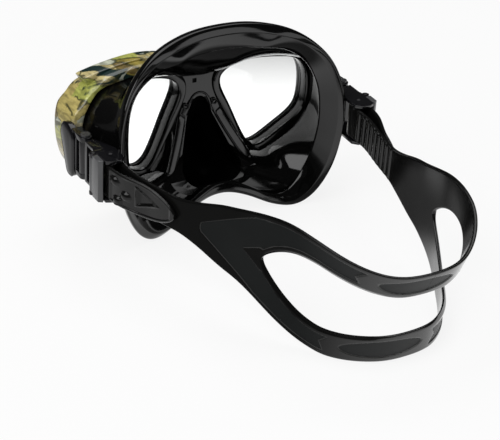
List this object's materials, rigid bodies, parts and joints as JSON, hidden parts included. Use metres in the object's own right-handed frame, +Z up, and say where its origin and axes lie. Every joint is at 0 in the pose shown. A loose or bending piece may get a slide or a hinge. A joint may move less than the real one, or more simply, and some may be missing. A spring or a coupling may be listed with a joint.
{
  "type": "diving mask",
  "caption": "Low-volume diving mask with separate lenses in a printed frame, a black silicone skirt with a nose pocket, and a split head strap on hinged roller buckles.",
  "frame": {"origin": "middle of the bounding box in X and Y, at the ground plane on which the cheek lobes, the nose pocket and the strap's lower band lie", "axes": "+X to the wearer's right, +Y forwards out of the lenses, +Z up"},
  "size_m": [0.1592, 0.2326, 0.1045],
  "materials": {
    "frame": "satin plastic with a camouflage print",
    "skirt": "glossy black silicone",
    "strap": "satin dark grey silicone",
    "lens": "clear tempered glass",
    "retainer": "black plastic",
    "buckle_black": "glossy black plastic",
    "lever": "black plastic with bevelled edges",
    "roller": "dark plastic",
    "pin": "plain stainless pin"
  },
  "bodies": {
    "mask": {"frame": "frame", "skirt": "skirt", "strap": "strap", "left_lens": "lens", "right_lens": "lens", "left_lens_retainer": "retainer", "right_lens_retainer": "retainer", "left_hinge_bracket": "buckle_black", "right_hinge_bracket": "buckle_black", "left_hinge_pin": "pin", "right_hinge_pin": "pin"},
    "left_buckle": {"left_buckle_body": "buckle_black", "left_roller_pin": "pin", "left_lever_pin": "pin"},
    "left_lever": {"left_release_lever": "lever"},
    "left_roller": {"left_roller": "roller"},
    "right_buckle": {"right_buckle_body": "buckle_black", "right_roller_pin": "pin", "right_lever_pin": "pin"},
    "right_lever": {"right_release_lever": "lever"},
    "right_roller": {"right_roller": "roller"}
  },
  "joints": [
    {"name": "left_buckle_swing", "type": "hinge", "parent": "mask", "child": "left_buckle", "pos_m": [-0.074, 0.06285, 0.04975], "axis": [0, 0.0872, -0.9962], "range_deg": [0, 45], "deforming": ["strap"]},
    {"name": "left_lever_lift", "type": "hinge", "parent": "left_buckle", "child": "left_lever", "pos_m": [-0.07771, 0.04614, 0.04829], "axis": [0, 0.0872, -0.9962], "range_deg": [0, 15], "stiffness_Nm_per_rad": 0.02, "springref_deg": -5.73},
    {"name": "left_roller_turn", "type": "hinge", "parent": "left_buckle", "child": "left_roller", "pos_m": [-0.07063, 0.04198, 0.04792], "axis": [0, 0.0872, -0.9962], "continuous": true},
    {"name": "right_buckle_swing", "type": "hinge", "parent": "mask", "child": "right_buckle", "pos_m": [0.074, 0.06285, 0.04975], "axis": [0, -0.0872, 0.9962], "range_deg": [0, 45], "deforming": ["strap"]},
    {"name": "right_lever_lift", "type": "hinge", "parent": "right_buckle", "child": "right_lever", "pos_m": [0.07771, 0.04614, 0.04829], "axis": [0, -0.0872, 0.9962], "range_deg": [0, 15], "stiffness_Nm_per_rad": 0.02, "springref_deg": -5.73},
    {"name": "right_roller_turn", "type": "hinge", "parent": "right_buckle", "child": "right_roller", "pos_m": [0.07063, 0.04198, 0.04792], "axis": [0, -0.0872, 0.9962], "continuous": true}
  ]
}
